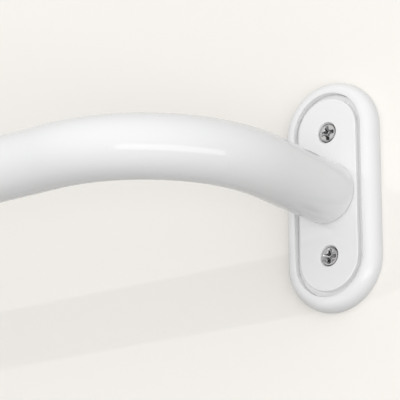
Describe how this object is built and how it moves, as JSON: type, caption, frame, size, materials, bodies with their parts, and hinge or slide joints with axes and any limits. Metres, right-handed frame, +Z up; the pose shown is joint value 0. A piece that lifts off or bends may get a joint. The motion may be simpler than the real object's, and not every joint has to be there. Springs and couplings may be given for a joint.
{
  "type": "curtain rod with brackets",
  "caption": "White wrap-around telescoping curtain rod that curves back to the wall, slid over posts on stadium-shaped wall brackets.",
  "frame": {"origin": "centre of the right backplate's back face, on the wall's surface", "axes": "+X along the wall to the right, +Y into the wall, +Z up; the room is on the -Y side"},
  "size_m": [0.7304, 0.1542, 0.0966],
  "materials": {
    "rod_enamel": "glossy white enamel on steel tube",
    "bracket_enamel": "glossy white enamel on die-cast metal",
    "post_steel": "turned steel, zinc plated",
    "screw_steel": "bright nickel plate",
    "set_screw_steel": "black oxide",
    "collar_plastic": "white moulded plastic",
    "anchor_nylon": "grey moulded nylon",
    "guide_nylon": "natural moulded nylon"
  },
  "bodies": {
    "right_bracket": {"right_backplate": "bracket_enamel", "right_bracket_plate": "bracket_enamel", "right_rod_post": "post_steel", "right_post_screw": "screw_steel", "right_wall_screw_upper": "screw_steel", "right_wall_screw_lower": "screw_steel", "right_wall_anchor_upper": "anchor_nylon", "right_wall_anchor_lower": "anchor_nylon"},
    "outer_tube": {"outer_rod": "rod_enamel", "mouth_collar": "collar_plastic"},
    "inner_tube": {"inner_rod": "rod_enamel", "inner_rod_guide": "guide_nylon"},
    "left_bracket": {"left_backplate": "bracket_enamel", "left_bracket_plate": "bracket_enamel", "left_rod_post": "post_steel", "left_post_screw": "screw_steel", "left_wall_screw_upper": "screw_steel", "left_wall_screw_lower": "screw_steel", "left_wall_anchor_upper": "anchor_nylon", "left_wall_anchor_lower": "anchor_nylon"},
    "right_locking_screw": {"right_set_screw": "set_screw_steel"},
    "left_locking_screw": {"left_set_screw": "set_screw_steel"}
  },
  "joints": [
    {"name": "rod_lift_off", "type": "slide", "parent": "right_bracket", "child": "outer_tube", "axis": [0, -1, 0], "range_m": [0, 0.045]},
    {"name": "rod_telescope", "type": "slide", "parent": "outer_tube", "child": "inner_tube", "axis": [-1, 0, 0], "range_m": [0, 0.508]},
    {"name": "left_bracket_release", "type": "slide", "parent": "inner_tube", "child": "left_bracket", "axis": [0, 1, 0], "range_m": [0, 0.045]},
    {"name": "right_set_screw_travel", "type": "slide", "parent": "right_bracket", "child": "right_locking_screw", "axis": [0, 0, -1], "range_m": [0, 0.0016]},
    {"name": "left_set_screw_travel", "type": "slide", "parent": "left_bracket", "child": "left_locking_screw", "axis": [0, 0, -1], "range_m": [0, 0.0016]}
  ],
  "couplings": [
    {"joint": "left_bracket_release", "follows": "rod_lift_off", "ratio": 1}
  ]
}
